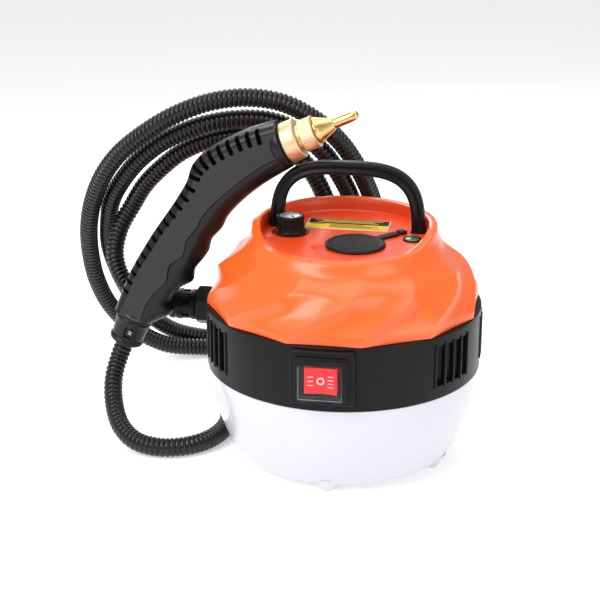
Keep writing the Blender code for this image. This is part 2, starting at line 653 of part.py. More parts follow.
def make_hose(root):
    """Corrugated steam hose, as a plain tube of its outer diameter."""
    points = [Vector(HOSE_START), *smooth_path(HOSE_ROUTE, HOSE_DIAMETER * 2.2), Vector(HOSE_END)]
    curve = bpy.data.curves.new("hose", "CURVE")
    curve.dimensions = "3D"
    curve.bevel_depth = HOSE_DIAMETER / 2 * MM
    curve.bevel_resolution = 2
    curve.use_fill_caps = True
    spline = curve.splines.new("POLY")
    spline.points.add(len(points) - 1)
    for target, point in zip(spline.points, points):
        target.co = (*(point * MM), 1.0)
    hose = bpy.data.objects.new("hose", curve)
    curve.materials.append(material("hose"))
    hose.parent = root
    bpy.context.collection.objects.link(hose)


# ---------------------------------------------------------------- gun

SPINE = [(-195, 108), (-183, 137), (-164, 170), (-141, 204), (-131, 221), (-126.5, 234),
         (-119, 243), (-105, 253), (-82, 264.5), (-59, 272)]
FINGER_SIDE = [(-43.5, 236.3), (-70, 218.6), (-86, 205), (-98, 191.5), (-103.5, 181), (-112, 171),
               (-115, 161), (-119.5, 154), (-127, 144), (-129, 134), (-140, 127), (-147, 116),
               (-147, 105), (-163.5, 95)]


def gun_outline():
    """Side view of the moulded grip, around from tail to nose and back, in X and Z."""
    def drawn(points, step):
        flat = smooth_path([(x, 0, z) for x, z in points], step)
        return [(p.x, p.z) for p in flat]
    return drawn(SPINE, 12.0) + drawn(FINGER_SIDE, 7.0)


def inset(outline, distance):
    """The outline moved inwards, by each corner's own normal."""
    n = len(outline)
    area = sum(outline[i - 1][0] * outline[i][1] - outline[i][0] * outline[i - 1][1] for i in range(n))
    sign = 1.0 if area > 0 else -1.0
    moved = []
    for i in range(n):
        before = Vector(outline[i]) - Vector(outline[i - 1])
        after = Vector(outline[(i + 1) % n]) - Vector(outline[i])
        n1 = Vector((-before.y, before.x)).normalized()
        n2 = Vector((-after.y, after.x)).normalized()
        normal = (n1 + n2).normalized()
        stretch = min(1.3, 1 / max(0.5, normal.dot(n1)))
        moved.append(Vector(outline[i]) + normal * distance * stretch * sign)
    return [(p.x, p.y) for p in moved]


def gun_shell(name, side, root):
    """One moulded half of the grip: a tray open at the parting plane."""
    outline = gun_outline()
    bm = bmesh.new()

    def loop(inward, depth):
        y = GUN_Y + side * depth
        return [bm.verts.new((x, y, z)) for x, z in inset(outline, inward)]

    rows = [loop(0, 0.15), loop(0.8, GUN_HALF - 4.5), loop(2.4, GUN_HALF - 1.2), loop(4.2, GUN_HALF)]
    hollow = [loop(GUN_WALL, 0.15), loop(GUN_WALL + 1.0, GUN_HALF - 5.0),
              loop(GUN_WALL + 3.0, GUN_HALF - GUN_WALL)]
    skin(bm, rows, closed=False)
    skin(bm, hollow, closed=False)
    skin(bm, [hollow[0], rows[0]], closed=False)
    caps = [bm.faces.new(rows[-1]), bm.faces.new(hollow[-1])]
    bmesh.ops.triangulate(bm, faces=caps)
    shell = finish_mesh(name, bm, "gun", root)
    nose = lathe([(0, -14), (9.6, -14), (9.6, 12), (0, 12)], 20, nose_frame())
    cut(shell, name + "_nose", nose, root)
    tail = lathe([(0, -6), (8.0, -6), (8.0, 24), (0, 24)], 20, tail_frame())
    cut(shell, name + "_tail", tail, root)
    return shell


def nose_frame():
    angle = math.radians(NOSE_ANGLE)
    return axis_frame((NOSE_AT[0], GUN_Y, NOSE_AT[1]), (math.cos(angle), 0, math.sin(angle)))


def tail_frame():
    """Z runs back up the grip from the top of the tail collar."""
    up = (COLLAR_TOP[0] - COLLAR_END[0], 0, COLLAR_TOP[1] - COLLAR_END[1])
    return axis_frame((COLLAR_TOP[0], GUN_Y, COLLAR_TOP[1]), up)


def make_gun(root):
    gun_shell("gun_shell_front", -1, root)
    rear = gun_shell("gun_shell_rear", 1, root)
    screws = [(-72, 243), (-116, 214), (-142, 172), (-163, 130)]
    for k, (x, z) in enumerate(screws, 1):
        frame = axis_frame((x, GUN_Y + GUN_HALF, z), (0, -1, 0))
        hole = lathe([(0, -3), (1.9, -3), (1.9, 8), (0, 8)], 10, frame)
        cut(rear, f"gun_hole_{k}", hole, root)
        screw = [(0, -2.2), (2.6, -2.2), (3.4, -1.4), (3.4, -GAP), (1.6, -GAP), (1.6, 9), (0, 9)]
        finish_mesh(f"gun_screw_{k}", lathe(screw, 12, frame), "steel", root)

    route = [(-178.5, 110.5), (-168, 134), (-152, 160), (-134, 188), (-118, 215), (-97, 232), (-73, 244)]
    path = smooth_path([(x, GUN_Y, z) for x, z in route], 12.0)
    finish_mesh("gun_pipe", sweep(path, circle(4.2, 10)), "brass", root)

    collar = (Vector((COLLAR_TOP[0], 0, COLLAR_TOP[1])) - Vector((COLLAR_END[0], 0, COLLAR_END[1]))).length
    tail = tail_frame()
    down = [(9.0, -collar), (13.6, -collar), (14.4, 1.5 - collar), (14.4, 4.5 - collar),
            (13.6, 5.5 - collar), (15.4, -6.0), (15.4, -GAP), (9.0, -GAP)]
    tail_collar = finish_mesh("gun_tail_collar", lathe(down, 28, tail), "black", root)
    pocket = block((9, 8, 10), (2.5, -14.2, -14), tail)
    cut(tail_collar, "clip_pocket", pocket, root)
    clip = block((5.0, 2.4, 6.0), (2.5, -12.0, -14), tail, bevel=0.8)
    finish_mesh("hose_clip", clip, "steel", root)

    nose = nose_frame()
    fixed = [(5.0, -12), (9.2, -12), (9.2, GAP), (15.4, GAP), (16.5, 1.4), (16.5, 11), (15.4, 12),
             (11.0, 12), (11.0, 15.4), (8.0, 15.4), (8.0, 25), (5.0, 25)]
    finish_mesh("gun_collar", lathe(fixed, 32, nose), "brass", root)
    spin = empty_at("nozzle_axis", nose.translation, root)
    origin = tuple(nose.translation)
    nut = [(8.3, 15.7), (12.0, 15.7), (12.6, 16.6), (12.6, 27), (11.8, 28), (5.0, 28), (5.0, 25.6),
           (8.3, 25.6)]
    finish_mesh("nozzle_nut", lathe(nut, 28, nose), "brass", spin, origin)
    cone = [(2.4, 28.3), (11.2, 28.3), (11.2, 29.6), (4.4, 43.7), (2.4, 43.7)]
    finish_mesh("nozzle_cone", lathe(cone, 24, nose), "brass", spin, origin)
    tip = [(1.4, 44), (4.3, 44), (4.3, 58.5), (3.9, 61.5), (2.9, 64), (1.4, 64)]
    finish_mesh("nozzle_tip", lathe(tip, 20, nose), "brass", spin, origin)


def main():
    clear_scene()
    root = bpy.data.objects.new("assembly", None)
    root.location = Vector(FRAME_SHIFT) * MM
    bpy.context.collection.objects.link(root)
    make_tub(root)
    make_band(root)
    make_top_cover(root)
    make_handle(root)
    make_knob(root)
    make_lid(root)
    make_indicator(root)
    make_label(root)
    make_switch(root)
    make_internals(root)
    make_outlet(root)
    make_hose(root)
    make_gun(root)


main()
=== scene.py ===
"""Looks for the wallpaper steamer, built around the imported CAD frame.

Lengths are in millimetres from the boiler's own upright axis, with the front at -Y and the floor
at Z 0. put() turns them into metres and moves them to where the CAD model has that axis.
"""

import math

import bmesh
import bpy
from mathutils import Matrix, Vector


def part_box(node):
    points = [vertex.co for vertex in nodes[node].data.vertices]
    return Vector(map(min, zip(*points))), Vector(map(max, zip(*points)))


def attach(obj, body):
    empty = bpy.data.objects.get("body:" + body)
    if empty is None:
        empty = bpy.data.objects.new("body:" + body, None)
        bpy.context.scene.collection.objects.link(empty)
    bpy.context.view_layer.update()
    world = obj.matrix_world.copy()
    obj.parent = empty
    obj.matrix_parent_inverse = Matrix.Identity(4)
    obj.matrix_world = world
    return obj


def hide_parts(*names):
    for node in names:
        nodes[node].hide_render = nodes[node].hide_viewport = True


MM = 0.001
TAU = math.tau
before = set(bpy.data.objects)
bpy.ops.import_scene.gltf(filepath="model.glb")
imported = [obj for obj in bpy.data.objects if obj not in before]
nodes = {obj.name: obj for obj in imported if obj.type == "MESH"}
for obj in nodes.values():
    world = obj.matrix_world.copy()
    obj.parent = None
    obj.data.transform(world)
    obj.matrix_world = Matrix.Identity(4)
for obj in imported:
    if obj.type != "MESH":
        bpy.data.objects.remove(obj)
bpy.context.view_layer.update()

low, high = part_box("water_tank")
AXIS = Vector(((low.x + high.x) / 2, (low.y + high.y) / 2, 0)) / MM

# ---------------------------------------------------------------- sizes shared with the CAD

BAND_RADIUS, BAND_BOTTOM, BAND_TOP = 111.0, 80.0, 131.5
VENT_HEIGHT, VENT_PITCH = 107, 5.2     # millimetres, and degrees between slots
VENT_ANGLES = (58, -58, 98, -93)       # middle of each group, in degrees from the front
FACE_HEIGHT = 186.0
RIM_RADIUS, RIM_WIDTH, RIM_HEIGHT = 74.0, 8.0, 11.0
LOBES, LOBE_TWIST = 12, 30.0
KNOB_AT, LID_AT, LAMP_AT, ANCHOR_AT = (-43.4, -1.8), (12.5, -28.0), (54.9, -5.8), (44.9, 8.9)
FINGER_DIP_AT = (-11.5, -36.0)
HANDLE_Y, HANDLE_HALF_WIDTH, HANDLE_BASE, HANDLE_RISE, HANDLE_POWER = 16.0, 57.5, 180.0, 56.5, 3.3
SWITCH_HEIGHT, SWITCH_FACE, ROCKER_AXIS_Y = 108.0, -114.5, -112.0
GLAND_SEAT, GLAND_Y, GLAND_HEIGHT, GLAND_LENGTH = -107.0, 50.0, 100.0, 50.0
GUN_Y, GUN_HALF, GUN_SLOTS = 16.0, 15.5, 22
NOSE_AT, NOSE_ANGLE = (-51.0, 254.0), 24.5
COLLAR_TOP, COLLAR_END = (-179.2, 101.2), (-189.0, 77.0)
HOSE_RADIUS = 8.0
HOSE_START, HOSE_END = (-149, 50, 100), (-186, 16, 84.4)
HOSE_ROUTE = [
    # out of the gland, back and up into the inner turn
    (-160, 50, 100), (-175, 50.5, 101), (-190, 53, 106), (-203, 58, 118), (-210, 65, 136),
    (-207, 72, 157), (-196, 76.5, 178), (-184, 74, 197), (-168, 70, 214), (-148, 69, 230),
    (-123, 69, 241), (-97, 72, 245), (-73, 79, 240), (-55, 85, 228), (-41, 90, 210),
    (-32, 95, 190), (-26, 109, 160), (-28, 134, 120), (-40, 163, 77), (-60, 188, 38),
    (-86, 202, 18),
    # middle turn
    (-122, 205, 9.5), (-158, 198, 11), (-189, 183, 22), (-210, 164, 45), (-221, 142, 74),
    (-226, 122, 104), (-227, 105, 132), (-222, 89.5, 158), (-214, 76, 182.5), (-199, 66, 206),
    (-181, 60, 226), (-158, 58, 243), (-129, 58, 256), (-100, 63, 261), (-73, 70, 259),
    (-50, 77, 248), (-31, 83, 231), (-18, 90, 210), (-9, 101, 186), (-5, 119, 155),
    (-6, 141, 115), (-15, 160, 76), (-33, 174, 42), (-60, 182, 18),
    # outer turn
    (-90, 186, 9), (-126, 184, 8.4), (-160, 177, 9), (-192, 163, 15), (-218, 148, 34),
    (-236, 132, 62), (-243, 115, 93), (-243, 99, 124), (-238, 82, 154), (-228, 66, 184),
    (-213, 53, 212), (-196, 47, 233), (-174, 45, 251), (-150, 46, 266), (-122, 50, 277),
    (-92, 56, 281), (-62, 64, 276), (-36, 72, 261), (-15, 80, 240), (0, 90, 213),
    (9, 104, 185), (13, 124, 150), (12, 145, 108), (5, 161, 68), (-10, 167, 36),
    (-33, 165, 15),
    # along the surface past the tub, and up into the gun
    (-59, 151, 8), (-81, 129, 8.3), (-96, 101, 8), (-103, 69, 8), (-104, 38, 8),
    (-101, 13, 8), (-103.5, -9, 8), (-112.5, -28, 8), (-128.5, -41, 8), (-148, -45, 8),
    (-168, -40, 10), (-184, -27, 17), (-194, -10, 30), (-197.5, 4, 46), (-195, 13, 61),
    (-190.5, 16, 73.3),
]

# ---------------------------------------------------------------- camera and light

def put(point):
    return (Vector(point) + AXIS) * MM


def camera():
    cam = bpy.data.objects.new("camera", bpy.data.cameras.new("camera"))
    cam.location = put((171.9, -1207.8, 574.1))
    aim = put((-35.1, -6.0, 130.0)) - cam.location
    cam.rotation_euler = aim.to_track_quat("-Z", "Y").to_euler()
    cam.data.lens = 96.05
    bpy.context.scene.collection.objects.link(cam)
    bpy.context.scene.camera = cam


def area_light(name, place, aim, size, power):
    data = bpy.data.lights.new(name, "AREA")
    data.shape = "RECTANGLE"
    data.size, data.size_y = size
    data.energy = power
    lamp = bpy.data.objects.new(name, data)
    lamp.location = put(place)
    lamp.rotation_euler = (put(aim) - lamp.location).to_track_quat("-Z", "Y").to_euler()
    bpy.context.scene.collection.objects.link(lamp)


def studio():
    area_light("key_light", (-700, -900, 1100), (0, 0, 100), (0.9, 0.9), 15)
    area_light("fill_light", (900, -700, 600), (0, 0, 120), (0.5, 1.1), 4)
    area_light("top_light", (0, 200, 1400), (0, 0, 100), (1.2, 1.2), 9)
    area_light("rim_light", (-500, 900, 600), (0, 0, 150), (0.8, 0.8), 6)
    world = bpy.data.worlds.new("studio")
    world.use_nodes = True
    world.node_tree.nodes["Background"].inputs["Color"].default_value = (1, 1, 1, 1)
    world.node_tree.nodes["Background"].inputs["Strength"].default_value = 0.5
    bpy.context.scene.world = world
    bpy.context.scene.view_settings.view_transform = "Standard"
    bm = bmesh.new()
    bmesh.ops.create_grid(bm, x_segments=1, y_segments=1, size=6000)
    pale = paint("floor", (0.74, 0.74, 0.74), 0.6, bump=0.0, tint=0.0)
    mesh_object("floor", bm, glow(pale, (1, 1, 1), 0.42), flat=True)


# ---------------------------------------------------------------- materials

def paint(name, colour, roughness, metallic=0.0, *, vary=0.12, scale=40.0, bump=0.02,
          grain=900.0, coat=0.0, stretch=(1, 1, 1), tint=0.06, specular=0.5):
    """A moulded or machined surface: uneven gloss, slight colour drift and a fine grain."""
    mat = bpy.data.materials.get(name)
    if mat:
        return mat
    mat = bpy.data.materials.new(name)
    mat.use_nodes = True
    tree = mat.node_tree
    shader = tree.nodes["Principled BSDF"]
    shader.inputs["Metallic"].default_value = metallic
    shader.inputs["Coat Weight"].default_value = coat
    shader.inputs["Coat Roughness"].default_value = 0.12
    shader.inputs["Specular IOR Level"].default_value = specular

    def node(kind, **values):
        made = tree.nodes.new(kind)
        for key, value in values.items():
            made.inputs[key].default_value = value
        return made

    place = tree.nodes.new("ShaderNodeTexCoord")
    mapping = node("ShaderNodeMapping", Scale=stretch)
    tree.links.new(place.outputs["Object"], mapping.inputs["Vector"])
    cloud = node("ShaderNodeTexNoise", Scale=scale, Detail=4.0, Roughness=0.6)
    tree.links.new(mapping.outputs["Vector"], cloud.inputs["Vector"])

    gloss = node("ShaderNodeMapRange")
    gloss.inputs["From Min"].default_value, gloss.inputs["From Max"].default_value = 0.3, 0.7
    gloss.inputs["To Min"].default_value = max(0.02, roughness * (1 - vary))
    gloss.inputs["To Max"].default_value = min(1.0, roughness * (1 + vary))
    tree.links.new(cloud.outputs["Fac"], gloss.inputs["Value"])
    tree.links.new(gloss.outputs["Result"], shader.inputs["Roughness"])

    drift = node("ShaderNodeMix")
    drift.data_type = "RGBA"
    drift.inputs["A"].default_value = (*[c * (1 - tint) for c in colour], 1)
    drift.inputs["B"].default_value = (*[min(1, c * (1 + tint)) for c in colour], 1)
    tree.links.new(cloud.outputs["Fac"], drift.inputs["Factor"])
    tree.links.new(drift.outputs["Result"], shader.inputs["Base Color"])

    if bump:
        fine = node("ShaderNodeTexNoise", Scale=grain, Detail=2.0)
        tree.links.new(mapping.outputs["Vector"], fine.inputs["Vector"])
        relief = node("ShaderNodeBump", Strength=bump, Distance=0.0003)
        tree.links.new(fine.outputs["Fac"], relief.inputs["Height"])
        tree.links.new(relief.outputs["Normal"], shader.inputs["Normal"])
    return mat


def glow(mat, colour, strength):
    shader = mat.node_tree.nodes["Principled BSDF"]
    shader.inputs["Emission Color"].default_value = (*colour, 1)
    shader.inputs["Emission Strength"].default_value = strength
    return mat


def clear_plastic():
    mat = paint("clear_cover", (1.0, 1.0, 1.0), 0.03, bump=0.01, tint=0.01)
    shader = mat.node_tree.nodes["Principled BSDF"]
    shader.inputs["Transmission Weight"].default_value = 1.0
    shader.inputs["IOR"].default_value = 1.22     # low, so that the rocker shows undistorted
    return mat


def orange():
    return paint("orange_shell", (0.90, 0.125, 0.012), 0.30, coat=0.25, bump=0.03, grain=1400,
                 tint=0.04)


# The cover's top face and the inner wall of its rim: the shell's plastic painted darker and redder, as
# painted shade.
def painted_shade_orange():
    return paint("orange_painted_shade", (0.78, 0.060, 0.008), 0.36, coat=0.1, bump=0.03, grain=1400,
                 tint=0.04)


def gloss_white():
    return paint("white_shell", (0.66, 0.66, 0.72), 0.18, coat=0.35, bump=0.012, grain=700,
                 tint=0.015)


def satin_black():
    return paint("satin_black", (0.007, 0.007, 0.008), 0.31, bump=0.05, grain=1500, tint=0.2,
                 specular=0.15)


def grip_grey():
    return paint("grip_panel", (0.026, 0.027, 0.029), 0.5, bump=0.16, grain=1700, tint=0.2,
                 specular=0.3)


def grip_black():
    return paint("grip_black", (0.006, 0.006, 0.007), 0.32, bump=0.06, grain=1500, tint=0.2,
                 specular=0.3)


def rubber_black():
    return paint("lid_rubber", (0.010, 0.010, 0.011), 0.5, bump=0.12, grain=1100, tint=0.2,
                 specular=0.2)


def hose_black():
    return paint("hose_polymer", (0.006, 0.006, 0.007), 0.27, bump=0.04, grain=1200, tint=0.25,
                 specular=0.4)


def brass():
    return paint("machined_brass", (0.74, 0.49, 0.20), 0.27, 1.0, vary=0.3, scale=60,
                 bump=0.05, grain=500, stretch=(1, 1, 5), tint=0.08)


def blasted_brass():
    return paint("blasted_brass", (0.80, 0.62, 0.38), 0.46, 1.0, vary=0.15, scale=200, bump=0.35,
                 grain=1300, tint=0.07)


def chrome():
    return paint("bright_steel", (0.78, 0.79, 0.80), 0.16, 1.0, vary=0.3, bump=0.03, grain=800)


# ---------------------------------------------------------------- mesh helpers

def mesh_object(name, bm, mat, flat=False, angle=40):
    """Turns a bmesh in millimetres about the boiler's axis into an object in place."""
    bmesh.ops.remove_doubles(bm, verts=bm.verts, dist=0.0005)
    bmesh.ops.recalc_face_normals(bm, faces=bm.faces)
    bmesh.ops.translate(bm, vec=AXIS, verts=bm.verts)
    bmesh.ops.scale(bm, vec=(MM, MM, MM), verts=bm.verts)
    mesh = bpy.data.meshes.new(name)
    bm.to_mesh(mesh)
    bm.free()
    if not flat:
        mesh.shade_smooth()
        mesh.set_sharp_from_angle(angle=math.radians(angle))
    obj = bpy.data.objects.new(name, mesh)
    bpy.context.scene.collection.objects.link(obj)
    for one in mat if isinstance(mat, (list, tuple)) else [mat]:
        mesh.materials.append(one)
    return obj


def piece(name, bm, mat, body="boiler", replaces=(), slot=None, angle=40, parts=()):
    """A finished visual piece: riding on its body, and standing for its CAD nodes."""
    obj = mesh_object(name, bm, mat, angle=angle)
    for operation, tool in parts:
        combine(obj, tool, operation, angle)
    if isinstance(replaces, str):
        replaces = (replaces,)
    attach(obj, body)
    if replaces:
        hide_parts(*replaces)
    return obj


def combine(obj, bm, operation, angle=40):
    """Applies an exact Boolean with a bmesh in millimetres, then removes the tool."""
    tool = mesh_object(obj.name + "_tool", bm, [], flat=True)
    mod = obj.modifiers.new("combine", "BOOLEAN")
    mod.operation, mod.object, mod.solver = operation, tool, "EXACT"
    graph = bpy.context.evaluated_depsgraph_get()
    result = bpy.data.meshes.new_from_object(obj.evaluated_get(graph))
    obj.modifiers.clear()
    old = obj.data
    obj.data = result
    bpy.data.objects.remove(tool)
    bpy.data.meshes.remove(old)
    result.shade_smooth()
    result.set_sharp_from_angle(angle=math.radians(angle))


def skin(bm, rows, closed=False, ring=True):
    count = len(rows) if closed else len(rows) - 1
    for k in range(count):
        a, b = rows[k], rows[(k + 1) % len(rows)]
        for i in range(len(a) if ring else len(a) - 1):
            j = (i + 1) % len(a)
            bm.faces.new((a[i], a[j], b[j], b[i]))


def around(radius, angle, height):
    """A point at `angle` round the Z axis, counted from the front."""
    return Vector((radius * math.sin(angle), -radius * math.cos(angle), height))


def fan(bm, row, point):
    tip = bm.verts.new(point)
    for i in range(len(row)):
        bm.faces.new((row[i], row[(i + 1) % len(row)], tip))


def rounded(profile, radius=0.6, steps=4):
    """Rounds the corners of an open (radius, height) profile, except its two ends."""
    pts = [Vector(p) for p in profile]
    out = [pts[0]]
    for before, here, after in zip(pts, pts[1:], pts[2:]):
        a, b = before - here, after - here
        cut = min(radius, a.length * 0.45, b.length * 0.45)
        start, end = here + a.normalized() * cut, here + b.normalized() * cut
        for k in range(steps + 1):
            t = k / steps
            out.append(start * (1 - t) ** 2 + here * 2 * t * (1 - t) + end * t * t)
    out.append(pts[-1])
    return [(p.x, p.y) for p in out]


def lathe(profile, sides=96, place=Matrix.Identity(4), wave=None, bm=None, closed=False):
    """Turns (radius, height) pairs around the Z of `place`. Ends at radius 0 are poles; with
    `closed` the profile is a loop. `wave(angle, radius, height)` gives the radius used."""
    bm = bm or bmesh.new()
    rows, poles = [], []
    for k, (radius, height) in enumerate(profile):
        if radius == 0:
            poles.append((k, height))
            continue
        row = []
        for i in range(sides):
            angle = TAU * i / sides
            r = wave(angle, radius, height) if wave else radius
            row.append(bm.verts.new(place @ around(r, angle, height)))
        rows.append(row)
    skin(bm, rows, closed=closed)
    for k, height in poles:
        fan(bm, rows[0] if k == 0 else rows[-1], place @ Vector((0, 0, height)))
    return bm


def box(size, centre, place=Matrix.Identity(4), bevel=0.0, segments=3, bm=None):
    bm = bm or bmesh.new()
    made = bmesh.ops.create_cube(bm, size=1.0)["verts"]
    bmesh.ops.scale(bm, vec=size, verts=made)
    if bevel:
        edges = list({e for v in made for e in v.link_edges})
        faces = bmesh.ops.bevel(bm, geom=edges, offset=bevel, segments=segments, profile=0.5,
                                affect="EDGES")["faces"]
        made = list({v for f in faces for v in f.verts} | {v for v in made if v.is_valid})
    bmesh.ops.transform(bm, matrix=place @ Matrix.Translation(Vector(centre)), verts=made)
    return bm


def slab(width, height, depth, radius, centre, place=Matrix.Identity(4), edge=0.5, bm=None, steps=6):
    """A plate in the XZ plane with rounded corners and a rounded front edge; front at -Y."""
    bm = bm or bmesh.new()

    def loop(shrink, y):
        pts = []
        r = max(0.05, radius - shrink)
        for cx, cz, start in ((1, 1, 0), (-1, 1, 90), (-1, -1, 180), (1, -1, 270)):
            for k in range(steps + 1):
                a = math.radians(start + 90 * k / steps)
                pts.append(Vector((cx * (width / 2 - shrink - r) + r * math.cos(a), y,
                                   cz * (height / 2 - shrink - r) + r * math.sin(a))))
        return [bm.verts.new(place @ (p + Vector(centre))) for p in pts]

    rows = [loop(0, depth / 2)]
    for k in range(4):
        a = math.radians(30 * k)
        rows.append(loop(edge * (1 - math.cos(a)), -depth / 2 + edge * (1 - math.sin(a))))
    skin(bm, rows)
    bm.faces.new(rows[0])
    bm.faces.new(rows[-1])
    return bm


def axis_place(point, direction):
    turn = Vector((0, 0, 1)).rotation_difference(Vector(direction)).to_matrix().to_4x4()
    return Matrix.Translation(Vector(point)) @ turn


def curve_points(points, step):
    """Evenly spaced points on the centripetal Catmull-Rom curve through `points`."""
    pts = [Vector(p) for p in points]
    pts = [2 * pts[0] - pts[1]] + pts + [2 * pts[-1] - pts[-2]]
    fine = []
    for a, b, c, d in zip(pts, pts[1:], pts[2:], pts[3:]):
        t1 = (b - a).length ** 0.5
        t2 = t1 + (c - b).length ** 0.5
        t3 = t2 + (d - c).length ** 0.5
        for k in range(24):
            t = t1 + (t2 - t1) * k / 24
            ab, bc = a.lerp(b, t / t1), b.lerp(c, (t - t1) / (t2 - t1))
            cd = c.lerp(d, (t - t2) / (t3 - t2))
            early, late = ab.lerp(bc, t / t2), bc.lerp(cd, (t - t1) / (t3 - t1))
            fine.append(early.lerp(late, (t - t1) / (t2 - t1)))
    fine.append(pts[-2])
    length = sum((q - p).length for p, q in zip(fine, fine[1:]))
    spans = max(1, round(length / step))
    out, run = [fine[0]], 0.0
    for p, q in zip(fine, fine[1:]):
        span = (q - p).length
        while len(out) < spans and run + span >= length * len(out) / spans - 1e-6:
            out.append(p.lerp(q, (length * len(out) / spans - run) / span))
        run += span
    return out + [fine[-1]]


def smoothstep(a, b, value):
    t = min(1.0, max(0.0, (value - a) / (b - a)))
    return t * t * (3 - 2 * t)


def mix(a, b, t):
    return a + (b - a) * t


# ---------------------------------------------------------------- casing

def skirt_radius(height):
    """Outer radius along the swirled skirt, straight between its main points."""
    knots = [(131.5, 110.6), (138, 110.4), (148, 107.2), (155, 104.2), (160, 101.2), (166, 96.4),
             (171.5, 88.6), (175, 83.4), (179, 79.4), (184, 76.2), (190, 75.2), (200, 74.4)]
    for (z0, r0), (z1, r1) in zip(knots, knots[1:]):
        if height <= z1:
            return mix(r0, r1, (height - z0) / (z1 - z0))
    return knots[-1][1]


def skirt_point(column, height):
    """A point of the skirt. `column` runs once around; the ridges lean between top and band."""
    angle = TAU * column
    lean = -math.radians(LOBE_TWIST) * (1 - smoothstep(134, 172, height))
    half = math.pi / LOBES
    across = ((angle + half) % (2 * half) - half) / half
    hollow = 0.90 * (1 - across * across) + 0.10 * (0.5 + 0.5 * math.cos(math.pi * across))
    depth = 0.040 * (0.92 + 0.26 * smoothstep(136, 150, height) * (1 - smoothstep(160, 172, height)))
    depth *= 1 - smoothstep(170, 185, height)
    smooth = sum(skirt_radius(height + d) for d in (-2, -1, 0, 1, 2)) / 5
    r = smooth * (1 - depth * hollow)
    return around(r, angle + lean, height)


def rim_height(angle):
    from_front = abs((math.degrees(angle) + 180) % 360 - 180)
    return 0.5 + (RIM_HEIGHT - 0.5) * smoothstep(48, 92, from_front)


def make_cover():
    sides = LOBES * 20
    bm = bmesh.new()
    heights = [BAND_TOP + 0.3 + (183.5 - BAND_TOP) * k / 44 for k in range(45)]
    rows = [[bm.verts.new(skirt_point(i / sides, z)) for i in range(sides)] for z in heights]

    def rim(radius, share):
        row = []
        for i in range(sides):
            a = TAU * i / sides
            row.append(bm.verts.new(around(radius, a, FACE_HEIGHT + rim_height(a) * share)))
        return row

    def level(radius, height):
        return [bm.verts.new(around(radius, TAU * i / sides, height)) for i in range(sides)]

    outer, inner = RIM_RADIUS, RIM_RADIUS - RIM_WIDTH
    for radius, share in ((outer + 0.9, 0.1), (outer + 0.5, 0.5), (outer + 0.1, 0.8),
                          (outer - 0.5, 0.93), (outer - 1.6, 1.0), (outer - 3.4, 1.02),
                          (inner + 2.8, 1.0),
                          (inner + 1.4, 0.95), (inner + 0.5, 0.8), (inner + 0.1, 0.45),
                          (inner - 0.1, 0.1)):
        rows.append(rim(radius, share))
    for radius in (inner - 1.2, 50, 32, 14):
        rows.append(level(radius, FACE_HEIGHT))
    inside = [[bm.verts.new(Vector((p.x * 0.955, p.y * 0.955, p.z)))
               for p in (skirt_point(i / sides, z) for i in range(sides))]
              for z in (heights[0], 140, 150, 160, 168)]
    for radius in (73, 30):
        inside.append(level(radius, FACE_HEIGHT - 2.6))
    skin(bm, rows)
    skin(bm, inside)
    skin(bm, [inside[0], rows[0]])
    fan(bm, rows[-1], (0, 0, FACE_HEIGHT))
    fan(bm, inside[-1], (0, 0, FACE_HEIGHT - 2.6))
    cuts = []
    for (x, y), radius in ((LID_AT, 14.8), (KNOB_AT, 4.2), (LAMP_AT, 6.9)):
        drill = lathe([(0, 176), (radius, 176), (radius, 195), (0, 195)], 48,
                      Matrix.Translation((x, y, 0)))
        cuts.append(("DIFFERENCE", drill))
    for side in (-1, 1):
        cuts.append(("DIFFERENCE", box((12.4, 11.8, 30), (side * 57.4, HANDLE_Y, 184), bevel=2.0)))
    x, y = FINGER_DIP_AT
    dish = [(0, FACE_HEIGHT - 1.7), (5.5, FACE_HEIGHT - 1.6), (8.6, FACE_HEIGHT - 1.0),
            (10.6, FACE_HEIGHT + 0.4), (0, FACE_HEIGHT + 0.4)]
    cuts.append(("DIFFERENCE", lathe(dish, 48, Matrix.Translation((x, y, 0)))))
    cover = piece("swirled_cover", bm, [orange(), painted_shade_orange()], replaces="top_cover", slot="orange",
                  parts=cuts, angle=32)
    # Faces inside the rim at the top face's level take the darker orange: painted shade on the top face
    # and the rim's inner wall.
    middle = put((0, 0, 0))
    for face in cover.data.polygons:
        spot = face.center - middle
        inside_rim = spot.xy.length < (RIM_RADIUS - RIM_WIDTH + 1.2) * MM
        face.material_index = 1 if inside_rim and spot.z > (FACE_HEIGHT - 2.2) * MM else 0


def make_tub():
    wall = [(76, 5), (84, 6.1), (88.6, 8.6), (92.2, 13.2), (96.4, 22), (100.6, 33), (104.6, 44.5),
            (107.6, 56), (109.2, 66), (109.8, 72), (110, 79.4)]
    outer = [(p.x, p.y) for p in curve_points([(r, z, 0) for r, z in wall], 2.2)]
    profile = [(0, 5)] + outer + [(107.4, 79.7), (106.8, 72), (100, 40), (86, 10), (0, 8)]
    piece("white_tub", lathe(profile, 240), gloss_white(), replaces="tub", slot="white")
    for k in range(5):
        angle = TAU * k / 5
        place = Matrix.Translation((80.6 * math.sin(angle), -80.6 * math.cos(angle), 0))
        foot = rounded([(0, 0), (4.8, 0), (5.9, 2.2), (7.6, 5.0), (10.4, 8.4), (12.2, 12.0),
                        (0, 12.0)], 1.0)
        piece(f"tub_foot_{k + 1}", lathe(foot, 40, place), gloss_white(), slot="white")


